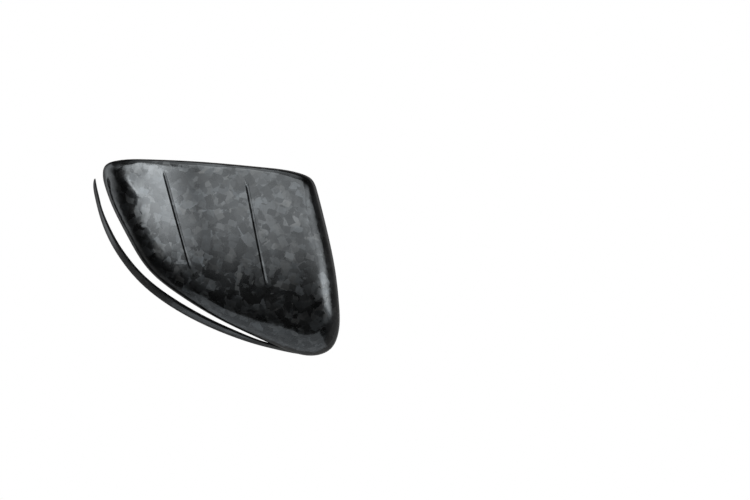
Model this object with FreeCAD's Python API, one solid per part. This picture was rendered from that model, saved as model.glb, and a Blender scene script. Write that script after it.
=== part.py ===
"""Forged-carbon cover for a car's door mirror: a bowl-shaped shell with an indicator slot and a free arm."""
import FreeCAD, Part
import math
import os

from FreeCAD import Vector

# Overall size in mm. The front of the cover faces -Y, X runs inboard and Z up.
# The rear plane is Y = 0, and the outline is centred on X = Z = 0.
COVER_WIDTH = 246.0
COVER_HEIGHT = 197.0
COVER_DEPTH = 84.0
WALL = 2.2

# Edge of the shell: a rolled-back radius for each side, then a drafted wall to the rim.
TOP_ROUND = 5.5
INNER_ROUND = 20.0
FOOT_ROUND = 27.0
SLOT_ROUND = 17.0
TIP_ROUND = 24.0
RETURN_DEPTH = 6.0
DRAFT_DEGREES = 1.5

# Outline stations, clockwise from the outer tip: share of the width, share of the height,
# edge radius, and how far the rim goes from the short return (0) to the rear plane (1).
OUTLINE = (
    (-0.4573, 0.4264, TIP_ROUND, 0.15),
    (-0.4431, 0.4670, 18.0, 0.35),
    (-0.4004, 0.4883, 12.0, 0.60),
    (-0.2907, 0.4959, TOP_ROUND, 0.88),
    (-0.0467, 0.4822, TOP_ROUND, 1.00),
    (0.1972, 0.4548, TOP_ROUND, 1.00),
    (0.3394, 0.4254, 10.0, 1.00),
    (0.3882, 0.3934, 13.0, 1.00),
    (0.4106, 0.3299, 16.0, 1.00),
    (0.4533, 0.1168, INNER_ROUND, 0.97),
    (0.4817, -0.0558, INNER_ROUND, 0.85),
    (0.4992, -0.2437, INNER_ROUND, 0.65),
    (0.4959, -0.3858, 23.0, 0.48),
    (0.4654, -0.4645, FOOT_ROUND, 0.37),
    (0.3963, -0.4990, FOOT_ROUND, 0.30),
    (0.2988, -0.4772, FOOT_ROUND, 0.24),
    (0.1850, -0.4162, 22.0, 0.16),
    (0.0102, -0.3096, SLOT_ROUND, 0.06),
    (-0.1484, -0.1878, SLOT_ROUND, 0.00),
    (-0.2703, -0.0609, SLOT_ROUND, 0.00),
    (-0.3598, 0.1168, SLOT_ROUND, 0.00),
    (-0.4268, 0.2843, 20.0, 0.00),
    (-0.4480, 0.3553, TIP_ROUND, 0.05),
)

# Set-back of the front face from its foremost plane, as Bezier control values in mm:
# from the outer tip to the inboard side, and from the foot to the top.
CROWN_ACROSS = (34.0, 2.0, -4.0, 8.0)
CROWN_UP = (26.0, 0.0, -2.0, 6.0)

# Point that the edge rings shrink towards, as shares of the width and the height.
HUB_SHARE = (0.163, 0.10)

# Start of the rolled edge's blend into the front face, in edge radii in from the edge.
BLEND_SHARE = 1.4

# Fineness of the surfaces: spans of the front face each way, steps round the rolled edge,
# and the widest gap between two samples of the outline.
CROWN_SPANS = 30
ROLL_STEPS = 3
SAMPLE_SPACING = 50.0

# Free arm below the slot: station along the outline, width of the slot, reach of the arm's
# outer edge from the outline, and set-back of its ridge behind the front face.
ARM = (
    (14.5, -1.7, -0.5, 27.0),
    (15.0, -1.5, 1.0, 26.0),
    (15.5, -1.0, 3.5, 23.0),
    (16.0, 0.8, 6.2, 19.0),
    (16.5, 2.2, 9.1, 15.0),
    (17.0, 3.3, 11.2, 12.0),
    (18.0, 5.4, 14.2, 10.5),
    (19.0, 7.0, 15.1, 10.5),
    (19.5, 9.2, 16.7, 10.5),
    (20.0, 11.0, 17.8, 10.5),
    (20.5, 10.7, 16.6, 10.5),
    (21.0, 9.3, 13.9, 11.0),
    (21.5, 8.2, 12.8, 11.5),
    (22.0, 7.5, 11.7, 12.0),
    (22.4, 6.9, 10.1, 12.6),
    (22.66, 6.7, 7.9, 13.0),
)
ARM_WALL = 2.0
ARM_WALL_SHARE = 0.28
ARM_FULL_WIDTH = 4.5
ARM_RIDGE_SHARE = 0.30
ARM_RIDGE_ROUND = 0.22
ARM_RIDGE_DEPTH = 4.0
ARM_CROWN_SHARE = 0.06
ARM_LIP_DEPTH = 7.0
ARM_BLADE_DEPTH = 11.0

# Two slim raised ribs on the front face: upper and lower ends as shares of width and height.
RIBS = (
    ((-0.206, 0.441), (-0.092, -0.072)),
    ((0.125, 0.402), (0.213, -0.157)),
)
RIB_HALF_WIDTH = 2.5
RIB_HEIGHT = 1.3
RIB_SINK = 0.8
RIB_STEPS = 12
RIB_FULLNESS = 8
RIB_PROFILE = (-1.0, -0.55, 0.0, 0.55, 1.0)

# Snap hooks inside the wall: station along the outline.
HOOK_STATIONS = (3.5, 4.75, 8.6, 10.3, 14.2)
HOOK_WIDTH = 12.0
HOOK_LENGTH = 16.0
HOOK_THICKNESS = 2.0
HOOK_GAP = 4.0
HOOK_BARB = 2.0
HOOK_BARB_LENGTH = 4.0
HOOK_END_CLEARANCE = 2.5

# Locating pegs behind the front face: share of the width, share of the height.
PEGS = ((-0.20, 0.20), (0.27, -0.25))
PEG_RADIUS = 3.0
PEG_LENGTH = 10.0
PEG_BOSS_RADIUS = 6.0
PEG_CHAMFER = 0.5
PEG_SEAT_Y = -58.0


def plane_point(share):
    """Point in the Y = 0 plane from shares of the width and the height."""
    return Vector(share[0] * COVER_WIDTH, 0, share[1] * COVER_HEIGHT)


STATION_POINTS = [plane_point(row) for row in OUTLINE]
STATION_PARAMETERS = [0.0]
for start, end in zip(STATION_POINTS, STATION_POINTS[1:] + STATION_POINTS[:1]):
    STATION_PARAMETERS.append(STATION_PARAMETERS[-1] + (end - start).Length)


def closed_curve(points, parameters):
    """Smooth closed curve through points; the last parameter closes it."""
    curve = Part.BSplineCurve()
    curve.interpolate(Points=points, PeriodicFlag=True, Parameters=parameters)
    return curve


def outline_with(column):
    """The outline as a closed curve, with a column of its table as the Y value."""
    raised = [point + Vector(0, row[column], 0) for point, row in zip(STATION_POINTS, OUTLINE)]
    return closed_curve(raised, STATION_PARAMETERS)


OUTLINE_CURVE = closed_curve(STATION_POINTS, STATION_PARAMETERS)
RADIUS_CURVE = outline_with(2)
REACH_CURVE = outline_with(3)
HUB = plane_point(HUB_SHARE)

FRONT_PATCH = Part.BezierSurface()
FRONT_PATCH.increase(3, 3)
for column, across in enumerate(CROWN_ACROSS):
    for row, up in enumerate(CROWN_UP):
        corner = plane_point((column / 3 - 0.5, row / 3 - 0.5))
        FRONT_PATCH.setPole(column + 1, row + 1, corner + Vector(0, across + up - COVER_DEPTH, 0))
CROWN = FRONT_PATCH.toBSpline()
for step in range(1, CROWN_SPANS):
    CROWN.insertUKnot(step / CROWN_SPANS, 1, 0)
    CROWN.insertVKnot(step / CROWN_SPANS, 1, 0)


def crown_y(point):
    """Depth of the front face at the point's X and Z."""
    return CROWN.value(point.x / COVER_WIDTH + 0.5, point.z / COVER_HEIGHT + 0.5).y


def crown_behind(distance):
    """The front face moved back by a distance."""
    surface = CROWN.copy()
    surface.translate(Vector(0, distance, 0))
    return surface


class EdgeSample:
    """The outline at a station number, which may lie between two stations."""

    def __init__(self, station):
        index = int(station) % len(OUTLINE)
        part = station - int(station)
        span = STATION_PARAMETERS[index + 1] - STATION_PARAMETERS[index]
        self.parameter = STATION_PARAMETERS[index] + part * span
        self.point = OUTLINE_CURVE.value(self.parameter)
        self.along = OUTLINE_CURVE.tangent(self.parameter)[0]
        self.out = self.along.cross(Vector(0, 1, 0))
        if self.out.dot(self.point - HUB) < 0:
            self.out = self.out * -1
        self.radius = RADIUS_CURVE.value(self.parameter).y
        reach = REACH_CURVE.value(self.parameter).y
        self.front_y = crown_y(self.point)
        self.rim_y = (1 - reach) * (self.front_y + self.radius + RETURN_DEPTH)

    def inset(self, distance):
        """Point moved in from the outline by a distance, towards the hub."""
        spoke = self.point - HUB
        return HUB + spoke * (1 - distance / spoke.dot(self.out))

    def on_crown(self, distance, drop):
        """Point on the front face at an inset, dropped back behind it."""
        point = self.inset(distance)
        point.y = crown_y(point) + drop
        return point

    def column(self):
        """Points from the front face round the rolled edge to the rim."""
        flare = (self.rim_y - self.front_y - self.radius) * math.tan(math.radians(DRAFT_DEGREES))
        points = [self.on_crown(flare + BLEND_SHARE * self.radius, 0)]
        for step in range(ROLL_STEPS + 1):
            turn = math.pi / 2 * step / ROLL_STEPS
            inset = flare + self.radius * (1 - math.sin(turn))
            points.append(self.on_crown(inset, self.radius * (1 - math.cos(turn))))
        points.append(self.point + Vector(0, self.rim_y, 0))
        return points


SAMPLES = []
for index, (start, end) in enumerate(zip(STATION_PARAMETERS, STATION_PARAMETERS[1:])):
    steps = math.ceil((end - start) / SAMPLE_SPACING)
    SAMPLES += [EdgeSample(index + step / steps) for step in range(steps)]
SAMPLE_PARAMETERS = [sample.parameter for sample in SAMPLES] + STATION_PARAMETERS[-1:]


def ring(points):
    """Closed curve through one point for each sample of the outline."""
    return closed_curve(points, SAMPLE_PARAMETERS)


def skin(rows):
    """Smooth surface through closed rings of points."""
    heights = [0.0]
    for row, following in zip(rows, rows[1:]):
        gaps = [(b - a).Length for a, b in zip(row, following)]
        heights.append(heights[-1] + sum(gaps) / len(gaps))
    rings = [ring(row) for row in rows]
    ribs = []
    for index in range(rings[0].NbPoles):
        rib = Part.BSplineCurve()
        rib.interpolate(Points=[loop.getPole(index + 1) for loop in rings], Parameters=heights)
        ribs.append(rib)
    surface = Part.BSplineSurface()
    surface.buildFromPolesMultsKnots(
        [rib.getPoles() for rib in ribs],
        rings[0].getMultiplicities(), ribs[0].getMultiplicities(),
        rings[0].getKnots(), ribs[0].getKnots(),
        True, False, 3, 3)
    return surface.toShape()


def inner_rows(rows):
    """The rings moved in by the wall thickness."""
    moved = []
    for level, row in enumerate(rows):
        before = rows[max(level - 1, 0)]
        after = rows[min(level + 1, len(rows) - 1)]
        moved.append([])
        for index, point in enumerate(row):
            around = row[(index + 1) % len(row)] - row[index - 1]
            normal = around.cross(after[index] - before[index])
            moved[-1].append(point - normal.normalize() * WALL)
    for point in moved[0]:
        point.y = crown_y(point) + WALL
    return moved


def boundary(face, front):
    """The closed edge of a skin at its front or at its rear."""
    loops = [edge for edge in face.Edges if edge.isClosed()]
    loops.sort(key=lambda edge: edge.BoundBox.Center.y)
    return loops[0] if front else loops[-1]


def bowl(rows, front_surface):
    """One side of the shell: its front face, its rolled edge and its straight wall."""
    rolled = skin(rows[:-1])
    front = Part.Face(front_surface, Part.Wire([boundary(rolled, True)]))
    front.validate()
    rim = ring(rows[-1]).toShape()
    wall = Part.makeRuledSurface(boundary(rolled, False), rim)
    return [front, rolled, wall], rim


def make_shell():
    """The bowl: an outer and an inner side, with the rim between them."""
    rows = list(zip(*[sample.column() for sample in SAMPLES]))
    outside, outer_rim = bowl(rows, CROWN)
    inside, inner_rim = bowl(inner_rows(rows), crown_behind(WALL))
    shell = Part.makeShell(outside + inside + [Part.makeRuledSurface(outer_rim, inner_rim)])
    shell.sewShape()
    return Part.Solid(shell)


def strip_solid(sections):
    """Solid of long strips between matching corners of closed sections."""
    rails = []
    for corners in zip(*sections):
        rail = Part.BSplineCurve()
        rail.interpolate(list(corners))
        rails.append(rail.toShape())
    faces = [Part.makeRuledSurface(rail, rails[index - 1]) for index, rail in enumerate(rails)]
    for corners in (sections[0], sections[-1]):
        faces.append(Part.Face(Part.makePolygon(corners + corners[:1])))
    shell = Part.makeShell(faces)
    shell.sewShape()
    return Part.Solid(shell)


def arm_section(station, gap, reach, set_back):
    """Corners of the arm's section across the outline: a thin angle with its ridge to the front."""
    edge = EdgeSample(station)
    width = reach - gap
    wall = min(ARM_WALL, ARM_WALL_SHARE * width)
    taper = min(1, width / ARM_FULL_WIDTH)
    front = edge.front_y + set_back

    def at(out, depth):
        return edge.point + edge.out * out + Vector(0, front + taper * depth, 0)

    ridge = at(gap + ARM_RIDGE_SHARE * width, 0)
    lip = at(gap, ARM_LIP_DEPTH)
    blade = at(reach, ARM_BLADE_DEPTH)
    lip_top = ridge + (lip - ridge) * ARM_RIDGE_ROUND
    blade_top = ridge + (blade - ridge) * ARM_RIDGE_ROUND
    return [
        lip,
        lip_top,
        (lip_top + blade_top + ridge * 2) * 0.25,
        blade_top,
        (blade_top + blade) * 0.5 + edge.out * (ARM_CROWN_SHARE * width),
        blade,
        at(reach - wall, ARM_BLADE_DEPTH),
        at(gap + ARM_RIDGE_SHARE * width, ARM_RIDGE_DEPTH),
        at(gap + wall, ARM_LIP_DEPTH),
    ]


def make_arm():
    """The slender arm that runs below the slot and ends free beside the outer tip."""
    return strip_solid([arm_section(*row) for row in ARM])


def make_rib(upper, lower):
    """A leaf-shaped rib that rises from the front face and sinks back at both ends."""
    start = plane_point(upper)
    run = plane_point(lower) - start
    across = run.cross(Vector(0, 1, 0)).normalize() * RIB_HALF_WIDTH
    sections = []
    for step in range(RIB_STEPS + 1):
        middle = start + run * (step / RIB_STEPS)
        rise = 1 - (2 * step / RIB_STEPS - 1) ** RIB_FULLNESS
        height = RIB_HEIGHT * rise - RIB_SINK / 2 * (1 - rise)
        corners = []
        for side in RIB_PROFILE:
            corner = middle + across * side
            corner.y = crown_y(corner) + RIB_SINK - (RIB_SINK + height) * (1 - side * side)
            corners.append(corner)
        sections.append(corners)
    return strip_solid(sections)


def make_hook(station):
    """A snap hook that stands off the wall inside, with its barb towards the middle."""
    edge = EdgeSample(station)
    inner = WALL + HOOK_GAP + HOOK_THICKNESS
    foot = -HOOK_LENGTH
    end = -HOOK_END_CLEARANCE
    profile = [
        (WALL / 2, foot),
        (inner, foot),
        (inner, end - HOOK_BARB_LENGTH),
        (inner + HOOK_BARB, end - HOOK_BARB_LENGTH),
        (inner, end),
        (inner - HOOK_THICKNESS, end),
        (inner - HOOK_THICKNESS, foot + HOOK_THICKNESS),
        (WALL / 2, foot + HOOK_THICKNESS),
    ]
    corner = edge.point - edge.along * (HOOK_WIDTH / 2) + Vector(0, edge.rim_y, 0)
    points = [corner - edge.out * inset + Vector(0, depth, 0) for inset, depth in profile]
    return Part.Face(Part.makePolygon(points + points[:1])).extrude(edge.along * HOOK_WIDTH)


def make_peg(share):
    """A locating peg on a boss that grows from the back of the front face."""
    centre = plane_point(share) + Vector(0, PEG_SEAT_Y, 0)
    front = plane_point(share) - Vector(0, COVER_DEPTH, 0)
    boss = Part.makeCylinder(PEG_BOSS_RADIUS, centre.y - front.y, front, Vector(0, 1, 0))
    middle_of_wall = crown_behind(WALL / 2).toShape()
    boss = boss.cut(middle_of_wall.extrude(Vector(0, -COVER_DEPTH, 0)))
    pin = Part.makeCylinder(PEG_RADIUS, PEG_LENGTH, centre, Vector(0, 1, 0))
    tip = max(pin.Edges, key=lambda edge: edge.CenterOfMass.y)
    return boss.fuse(pin.makeChamfer(PEG_CHAMFER, [tip]))


def make_cover():
    """The whole cover as one moulded piece."""
    features = [make_arm()]
    features += [make_rib(*ends) for ends in RIBS]
    features += [make_hook(station) for station in HOOK_STATIONS]
    features += [make_peg(share) for share in PEGS]
    return make_shell().fuse(features).Solids[0]


os.makedirs("parts", exist_ok=True)
cover = make_cover()
cover.exportStep("parts/mirror_cover.step")
print("mirror_cover:", cover.Volume / 1000, "cm3,", cover.BoundBox)
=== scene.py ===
# %% [markdown]
# The part is a cover for a car's door mirror, pressed from chopped carbon fibre and clear coated.
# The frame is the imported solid, in metres: X runs inboard, Z is up and the front faces -Y.
# Everything below dresses that solid and never moves or resizes it.

# %% Load the frame
import math

import bpy
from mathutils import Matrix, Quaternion, Vector
from mathutils.bvhtree import BVHTree
from mathutils.geometry import intersect_point_line


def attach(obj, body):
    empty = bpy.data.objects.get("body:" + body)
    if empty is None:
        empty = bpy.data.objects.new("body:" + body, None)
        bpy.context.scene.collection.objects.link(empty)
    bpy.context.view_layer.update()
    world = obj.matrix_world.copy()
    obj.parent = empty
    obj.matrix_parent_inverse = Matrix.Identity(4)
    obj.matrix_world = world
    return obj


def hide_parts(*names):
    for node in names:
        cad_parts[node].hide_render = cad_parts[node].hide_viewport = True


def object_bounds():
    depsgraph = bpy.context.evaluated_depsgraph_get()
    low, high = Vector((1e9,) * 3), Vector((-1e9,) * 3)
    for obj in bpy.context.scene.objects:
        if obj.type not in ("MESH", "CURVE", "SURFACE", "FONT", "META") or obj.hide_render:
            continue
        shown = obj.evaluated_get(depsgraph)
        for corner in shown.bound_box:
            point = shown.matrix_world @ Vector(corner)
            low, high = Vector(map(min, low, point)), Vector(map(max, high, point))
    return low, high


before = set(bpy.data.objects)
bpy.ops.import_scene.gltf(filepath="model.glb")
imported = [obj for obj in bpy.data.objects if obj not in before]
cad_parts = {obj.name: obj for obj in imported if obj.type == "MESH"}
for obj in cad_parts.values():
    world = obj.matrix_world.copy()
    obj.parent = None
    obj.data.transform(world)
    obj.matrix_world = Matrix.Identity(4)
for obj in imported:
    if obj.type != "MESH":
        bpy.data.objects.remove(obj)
cad_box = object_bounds()
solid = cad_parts["mirror_cover"]
print("solid:", len(solid.data.polygons), "triangles, box", [list(corner) for corner in cad_box])

# %% [markdown]
# The solid comes as loose triangles with stored normals, so light would break at every patch of it.
# A copy drops those normals, is welded into one skin, and is shaded smooth with its true edges kept crisp.
# The angle lies between the slope of a rolled edge's facets and the corner of the rim.

# %% Weld a copy of the solid into one smooth skin
WELD_DISTANCE = 0.00002
CRISP_ANGLE = math.radians(19)

bpy.ops.object.select_all(action="DESELECT")
solid.select_set(True)
bpy.context.view_layer.objects.active = solid
bpy.ops.object.duplicate()
cover = bpy.context.view_layer.objects.active
cover.name = "forged_cover"
cover.data.name = "forged_cover"
bpy.ops.mesh.customdata_custom_splitnormals_clear()
bpy.ops.object.mode_set(mode="EDIT")
bpy.ops.mesh.select_all(action="SELECT")
bpy.ops.mesh.remove_doubles(threshold=WELD_DISTANCE)
bpy.ops.object.mode_set(mode="OBJECT")
bpy.ops.object.shade_smooth_by_angle(angle=CRISP_ANGLE)
print("welded skin:", len(cover.data.vertices), "vertices")

# %% [markdown]
# Two slim ribs rise from the front face, and light breaks along their feet.
# Where a rib sinks back at its ends, its feet are too shallow for the angle above to find.
# So the feet are found by place: a face belongs to a rib when all its corners lie on the strip
# between the rib's ends. Normals are then weighted by area, so that thin triangles beside a rib
# don't tilt the broad ones.

# %% Crease the feet of the ribs
# Upper and lower end of each rib, as X and Z.
RIB_ENDS = (
    (Vector((-0.0507, 0.0869)), Vector((-0.0226, -0.0142))),
    (Vector((0.0308, 0.0792)), Vector((0.0524, -0.0309))),
)
RIB_HALF_WIDTH = 0.0027
AREA_WEIGHT = 100


def on_rib(vertex, upper, lower):
    """Tells whether a vertex lies on the strip of one rib, seen from the front."""
    place = Vector((vertex.co.x, vertex.co.z))
    nearest, share = intersect_point_line(place, upper, lower)
    return (place - nearest).length < RIB_HALF_WIDTH and 0 < share < 1


rib_vertices = set()
for vertex in cover.data.vertices:
    if any(on_rib(vertex, *ends) for ends in RIB_ENDS):
        rib_vertices.add(vertex.index)
bpy.ops.object.mode_set(mode="EDIT")
bpy.ops.mesh.select_mode(type="FACE")
bpy.ops.mesh.select_all(action="DESELECT")
bpy.ops.object.mode_set(mode="OBJECT")
for polygon in cover.data.polygons:
    polygon.select = polygon.normal.y < 0 and rib_vertices.issuperset(polygon.vertices)
rib_faces = sum(polygon.select for polygon in cover.data.polygons)
bpy.ops.object.mode_set(mode="EDIT")
bpy.ops.mesh.region_to_loop()
bpy.ops.mesh.mark_sharp()
bpy.ops.object.mode_set(mode="OBJECT")
bpy.ops.object.modifier_add(type="WEIGHTED_NORMAL")
weighted = cover.modifiers[-1]
weighted.mode = "FACE_AREA"
weighted.weight = AREA_WEIGHT
weighted.keep_sharp = True
bpy.ops.object.modifier_apply(modifier=weighted.name)
print("rib faces:", rib_faces)

# %% [markdown]
# A pressed cover is clear coated only where it shows: its inside stays matt from the mould.
# A face is inside when a short step out of it, and then straight to the front, meets the cover again.
# Those faces get a material slot of their own.

# %% Tell the bare inside from the coated outside
STEP_OUT = 0.0004
FORWARD = Vector((0, -1, 0))

skin = BVHTree.FromPolygons(
    [vertex.co for vertex in cover.data.vertices],
    [tuple(polygon.vertices) for polygon in cover.data.polygons])


def is_inside(polygon):
    """Tells whether some of the cover lies in front of a face."""
    start = polygon.center + polygon.normal * STEP_OUT
    return skin.ray_cast(start, FORWARD)[0] is not None


inside_faces = [polygon.index for polygon in cover.data.polygons if is_inside(polygon)]
print("inside faces:", len(inside_faces), "of", len(cover.data.polygons))

# %% [markdown]
# A finish is a recipe of nodes, and so are the surround and the glow of a lamp.
# These helpers add one node in one line and link whatever they are given,
# so that the recipes below read as steps and not as wiring.

# %% Helpers for recipes of nodes
def new_material(name):
    """Makes a material that holds only a shader, and gives it with its tree and the shader."""
    material = bpy.data.materials.new(name)
    material.use_nodes = True
    tree = material.node_tree
    tree.nodes.clear()
    shader = tree.nodes.new("ShaderNodeBsdfPrincipled")
    output = tree.nodes.new("ShaderNodeOutputMaterial")
    tree.links.new(shader.outputs["BSDF"], output.inputs["Surface"])
    return material, tree, shader


def add_node(tree, kind, inputs=(), **settings):
    """Adds a node. Each input is set to a number or a colour, or linked to another node's output."""
    node = tree.nodes.new(kind)
    for key, value in settings.items():
        setattr(node, key, value)
    for socket, value in dict(inputs).items():
        if isinstance(value, bpy.types.NodeSocket):
            tree.links.new(value, node.inputs[socket])
        else:
            node.inputs[socket].default_value = value
    return node


def add_math(tree, operation, *values):
    """Result of a sum on numbers."""
    return add_node(tree, "ShaderNodeMath", enumerate(values), operation=operation).outputs[0]


def add_vector_math(tree, operation, inputs):
    """Result of a sum on vectors."""
    return add_node(tree, "ShaderNodeVectorMath", inputs, operation=operation).outputs[0]


def blend_colours(tree, share, first, second, blend_type="MIX"):
    """Colour between the first and the second, whose sockets are numbers 6 and 7."""
    inputs = {0: share, 6: first, 7: second}
    return add_node(tree, "ShaderNodeMix", inputs, data_type="RGBA", blend_type=blend_type).outputs[2]


def either(tree, share, first, second):
    """First number, or the second where the share is one."""
    return add_node(tree, "ShaderNodeMix", {0: share, 2: first, 3: second}).outputs[0]


def smooth_rise(tree, value, start, end, top=1.0):
    """Number that rises smoothly from nought to the top while the value goes from start to end."""
    inputs = {"Value": value, "From Min": start, "From Max": end, "To Max": top}
    return add_node(tree, "ShaderNodeMapRange", inputs, interpolation_type="SMOOTHSTEP").outputs[0]


# %% [markdown]
# Forged carbon is a felt of flat, square-cut chips of fibre, each lying its own way.
# Cells of a Voronoi texture that measures by the larger offset are square, with one random colour each.
# Layers are turned and sized differently and show only some of their cells, so the chips overlap,
# and each lets a little of what lies below show through, as the clear resin does.

# %% Chips of fibre in layers
CHIP_LAYERS = 9
LAYER_SHIFT = Vector((0.37, 0.71, 0.53))
LAYER_SCALES = (0.75, 1.0, 1.25)
# The golden angle, in radians, so that no two layers line up.
CHIP_TURN = 2.399
CHIP_SCALE = 115.0
CHIP_LONG = 1.5
# Half the width of a chip as a share of its cell, the share of cells that show, and how much each hides.
CHIP_HALF = 0.42
CHIP_COVER = 0.5
CHIP_VEIL = 0.68
CHIP_RAGGED = 0.0016
RAGGED_SCALE = 420.0
RAGGED_DETAIL = 3.0


def chip_colours(tree, position):
    """Random colour at each place: that of the topmost chip, with a little of those below."""
    wobble = add_node(tree, "ShaderNodeTexNoise", {
        "Vector": position, "Scale": RAGGED_SCALE, "Detail": RAGGED_DETAIL})
    ragged = add_vector_math(tree, "MULTIPLY_ADD", {
        0: wobble.outputs["Color"], 1: (CHIP_RAGGED,) * 3, 2: position})
    colours = None
    for layer in range(CHIP_LAYERS):
        turned = add_node(tree, "ShaderNodeMapping", {
            "Vector": ragged,
            "Location": LAYER_SHIFT * layer,
            "Rotation": (0.0, CHIP_TURN * layer, 0.0),
            "Scale": (CHIP_LONG, 1.0, 1.0),
        }, vector_type="TEXTURE")
        cells = add_node(tree, "ShaderNodeTexVoronoi", {
            "Vector": turned.outputs[0],
            "Scale": CHIP_SCALE * LAYER_SCALES[layer % len(LAYER_SCALES)],
            "Randomness": 1.0,
        }, distance="CHEBYCHEV")
        if colours is None:
            colours = cells.outputs["Color"]
            continue
        parts = add_node(tree, "ShaderNodeSeparateColor", {"Color": cells.outputs["Color"]})
        chosen = add_math(tree, "GREATER_THAN", parts.outputs[2], 1 - CHIP_COVER)
        within = add_math(tree, "LESS_THAN", cells.outputs["Distance"], CHIP_HALF)
        shows = add_math(tree, "MULTIPLY", chosen, within)
        veiled = add_math(tree, "MULTIPLY", shows, CHIP_VEIL)
        colours = blend_colours(tree, veiled, colours, cells.outputs["Color"])
    return colours


# %% [markdown]
# Outside, most chips are near black and a few are grey, some a little warm and some a little cool.
# Each chip leans its own way under the coat, so the pattern changes with the light,
# and the coat over them is smooth and mirrors the room as one clean surface.
# Inside there is no coat: the chips are matt and closer to each other in tone.

# %% Coated and bare forged carbon
CHIP_DARK = (0.013, 0.013, 0.013, 1)
CHIP_COOL = (0.106, 0.112, 0.117, 1)
CHIP_WARM = (0.116, 0.112, 0.107, 1)
CHIP_LEAN = 0.11
MEAN_COLOUR = (0.5, 0.5, 0.5)
COAT_ROUGHNESS = 0.12
COAT_IOR = 1.65
FIBRE_TURN = (0.4, 0.9, 0.2)
FIBRE_STRETCH = (1.0, 1.0, 0.08)
FIBRE_SCALE = 900.0
FIBRE_DETAIL = 2.0
FIBRE_DARKEST = 0.85
FIBRE_RANGE = 0.3


def forged_carbon(name, coat, roughness, metallic, tone_power):
    """Makes one finish: the colour of its chips with fine fibres, the lean of its chips, and its coat."""
    material, tree, shader = new_material(name)
    position = add_node(tree, "ShaderNodeTexCoord").outputs["Object"]
    chips = chip_colours(tree, position)
    parts = add_node(tree, "ShaderNodeSeparateColor", {"Color": chips})
    light = blend_colours(tree, parts.outputs[1], CHIP_COOL, CHIP_WARM)
    tone = add_math(tree, "POWER", parts.outputs[0], tone_power)
    grey = blend_colours(tree, tone, CHIP_DARK, light)
    stretched = add_node(tree, "ShaderNodeMapping", {
        "Vector": position, "Rotation": FIBRE_TURN, "Scale": FIBRE_STRETCH})
    fibres = add_node(tree, "ShaderNodeTexNoise", {
        "Vector": stretched.outputs[0], "Scale": FIBRE_SCALE, "Detail": FIBRE_DETAIL})
    streaks = add_math(tree, "MULTIPLY_ADD", fibres.outputs["Fac"], FIBRE_RANGE, FIBRE_DARKEST)
    streaked = blend_colours(tree, 1.0, grey, streaks, blend_type="MULTIPLY")
    tree.links.new(streaked, shader.inputs["Base Color"])
    offset = add_vector_math(tree, "SUBTRACT", {0: chips, 1: MEAN_COLOUR})
    lean = add_vector_math(tree, "SCALE", {0: offset, "Scale": CHIP_LEAN})
    facing = add_node(tree, "ShaderNodeNewGeometry").outputs["Normal"]
    leaning = add_vector_math(tree, "ADD", {0: facing, 1: lean})
    unit = add_vector_math(tree, "NORMALIZE", {0: leaning})
    tree.links.new(unit, shader.inputs["Normal"])
    shader.inputs["Roughness"].default_value = roughness
    shader.inputs["Coat Weight"].default_value = coat
    shader.inputs["Coat Roughness"].default_value = COAT_ROUGHNESS
    shader.inputs["Coat IOR"].default_value = COAT_IOR
    shader.inputs["Metallic"].default_value = metallic
    return material


coated = forged_carbon("coated_forged_carbon", coat=1.0, roughness=0.31, metallic=0.97, tone_power=2.0)
bare = forged_carbon("bare_forged_carbon", coat=0.0, roughness=0.62, metallic=0.0, tone_power=0.5)
cover.data.materials.clear()
cover.data.materials.append(coated)
cover.data.materials.append(bare)
for index in inside_faces:
    cover.data.polygons[index].material_index = 1
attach(cover, "root")
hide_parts("mirror_cover")
print("materials:", [material.name for material in cover.data.materials])

# %% [markdown]
# The cover hangs in front of plain white, as a catalogue shows it, with a pale floor well below.
# The camera sees the world as white. The glossy coat sees it as a dim backdrop behind the cover
# and a dark room in front, so that the lamps draw the highlights, and matt faces get an even light.

# %% Floor and white surround
FLOOR_BELOW = 1.0
FLOOR_SIZE = 1.6
FLOOR_DARK = (0.50, 0.52, 0.54, 1)
FLOOR_LIGHT = (0.54, 0.56, 0.58, 1)
FLOOR_SPECKLE = 6.0
FLOOR_ROUGHNESS = 0.8
# Brightness of the world: for the camera, for matt faces, and for the coat from the room and the backdrop.
WHITE = 1.0
AMBIENT = 0.27
ROOM = 0.012
BACKDROP = 0.09
# The backdrop rises towards the rear, along Y, and towards the floor, down Z.
BACKDROP_FROM = -0.25
BACKDROP_TO = 0.4
BACKDROP_TOP = 0.45
BACKDROP_LOW = -0.2

bpy.ops.object.select_all(action="DESELECT")
bpy.ops.mesh.primitive_plane_add(size=FLOOR_SIZE, location=(0, 0, cad_box[0][2] - FLOOR_BELOW))
floor = bpy.context.view_layer.objects.active
floor.name = "studio_floor"
floor_paint, floor_tree, floor_shader = new_material("pale_floor")
floor_place = add_node(floor_tree, "ShaderNodeTexCoord").outputs["Object"]
speckle = add_node(floor_tree, "ShaderNodeTexNoise", {"Vector": floor_place, "Scale": FLOOR_SPECKLE})
floor_colour = blend_colours(floor_tree, speckle.outputs["Fac"], FLOOR_DARK, FLOOR_LIGHT)
floor_tree.links.new(floor_colour, floor_shader.inputs["Base Color"])
floor_shader.inputs["Roughness"].default_value = FLOOR_ROUGHNESS
floor.data.materials.append(floor_paint)

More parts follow.
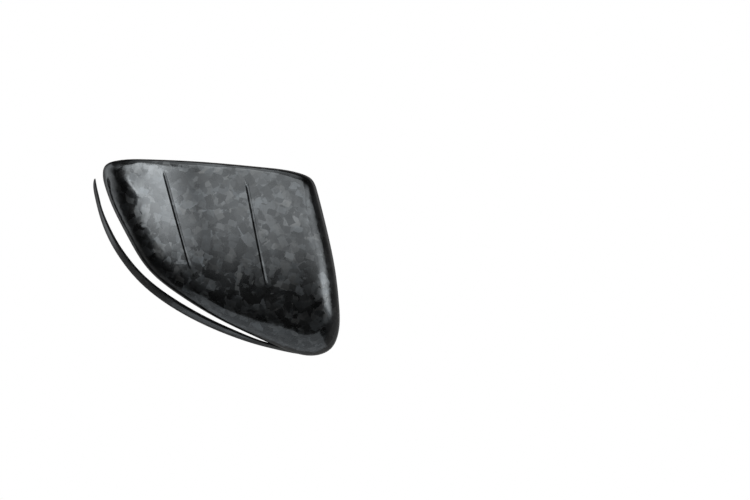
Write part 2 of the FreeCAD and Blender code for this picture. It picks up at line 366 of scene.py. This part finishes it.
world = bpy.data.worlds.new("white_surround")
world.use_nodes = True
bpy.context.scene.world = world
surround = world.node_tree
background = surround.nodes["Background"]
background.inputs["Color"].default_value = (1, 1, 1, 1)
ray_way = add_node(surround, "ShaderNodeTexCoord").outputs["Generated"]
direction = add_node(surround, "ShaderNodeSeparateXYZ", {0: ray_way})
behind = smooth_rise(surround, direction.outputs["Y"], BACKDROP_FROM, BACKDROP_TO)
lowered = smooth_rise(surround, direction.outputs["Z"], BACKDROP_TOP, BACKDROP_LOW, BACKDROP)
backdrop = add_math(surround, "MULTIPLY_ADD", behind, lowered, ROOM)
rays = add_node(surround, "ShaderNodeLightPath")
strength = AMBIENT
for kind, brightness in (
        ("Is Glossy Ray", backdrop),
        ("Is Transmission Ray", backdrop),
        ("Is Camera Ray", WHITE)):
    strength = either(surround, rays.outputs[kind], strength, brightness)
surround.links.new(strength, background.inputs["Strength"])
print("surround ready")

# %% [markdown]
# Soft lamps stand in for studio softboxes, each placed where some part of the cover mirrors it.
# The panel beside the outer tip mirrors the slim one at the left, and the middle the broad one in front.
# The rolled edges mirror the others: the right one draws a streak, the top one lifts the upper edge,
# and the one at the side lights the outer edge and some of the inside.

# %% Soft lamps
# Each row: name; turn, rise and tilt in degrees; width and height in metres; power in watts;
# share of the width that fades at each side, and of the height at the lower edge.
# A tilt of 180 degrees puts the lower edge at the top.
LAMP_DISTANCE = 2.0
LAMPS = (
    ("left_softbox", -33.4, 20.0, 26.0, 0.7, 3.0, 35.0, 0.5, 0.36),
    ("front_softbox", 14.0, 21.0, 0.0, 2.8, 3.5, 51.0, 0.15, 0.36),
    ("right_softbox", 65.0, 10.0, 180.0, 2.7, 2.2, 60.0, 0.5, 0.9),
    ("top_softbox", -18.0, 78.0, 0.0, 2.8, 2.8, 22.0, 0.4, 0.2),
    ("side_softbox", -112.0, 8.0, 0.0, 2.8, 2.5, 17.0, 0.5, 0.2),
)
LAMP_COLOUR = (0.90, 0.96, 1.0)
LAMP_MIDDLE = 0.5
AIM = Vector((0.0, -0.05, 0.0))


def soften(lamp, side_fade, low_fade):
    """Lets a softbox fade in from its sides and from its lower edge, as its cloth does."""
    lamp.data.use_nodes = True
    tree = lamp.data.node_tree
    cloth = add_node(tree, "ShaderNodeNewGeometry").outputs["Parametric"]
    place = add_node(tree, "ShaderNodeSeparateXYZ", {0: cloth})
    from_side = add_math(tree, "PINGPONG", place.outputs["X"], LAMP_MIDDLE)
    side_glow = smooth_rise(tree, from_side, 0.0, side_fade)
    low_glow = smooth_rise(tree, place.outputs["Y"], 0.0, low_fade)
    glow = add_math(tree, "MULTIPLY", side_glow, low_glow)
    tree.links.new(glow, tree.nodes["Emission"].inputs["Strength"])


for name, turn, rise, tilt, width, height, power, side_fade, low_fade in LAMPS:
    azimuth = math.radians(turn)
    elevation = math.radians(rise)
    away = Vector((
        math.sin(azimuth) * math.cos(elevation),
        -math.cos(azimuth) * math.cos(elevation),
        math.sin(elevation)))
    bpy.ops.object.light_add(type="AREA", location=AIM + away * LAMP_DISTANCE)
    lamp = bpy.context.view_layer.objects.active
    lamp.name = name
    lamp.data.shape = "RECTANGLE"
    lamp.data.size = width
    lamp.data.size_y = height
    lamp.data.energy = power
    lamp.data.color = LAMP_COLOUR
    lamp.visible_camera = False
    soften(lamp, side_fade, low_fade)
    aim = (-away).to_track_quat("-Z", "Y")
    lamp.rotation_euler = (aim @ Quaternion((0, 0, 1), math.radians(tilt))).to_euler()
print("lamps:", [row[0] for row in LAMPS])

# %% [markdown]
# The photograph looks straight at the front with a long lens, and one of its pixels is one millimetre.
# The cover sits left of the picture's middle, so the camera stands to the right and looks straight on.

# %% Camera
PIXEL = 0.001
PHOTO_WIDTH = 750
PHOTO_HEIGHT = 500
COVER_CENTRE = (216.5, 257.0)
DISTANCE = 5.0
FARTHEST = 50.0
SENSOR = 36.0

across = (PHOTO_WIDTH / 2 - COVER_CENTRE[0]) * PIXEL
up = (COVER_CENTRE[1] - PHOTO_HEIGHT / 2) * PIXEL
bpy.ops.object.camera_add(location=(across, -DISTANCE, up), rotation=(math.pi / 2, 0, 0))
camera = bpy.context.view_layer.objects.active
camera.data.sensor_width = SENSOR
camera.data.lens = SENSOR * DISTANCE / (PHOTO_WIDTH * PIXEL)
camera.data.clip_end = FARTHEST
bpy.context.scene.camera = camera
bpy.context.scene.view_settings.view_transform = "Standard"
print("camera lens:", round(camera.data.lens, 1), "mm")
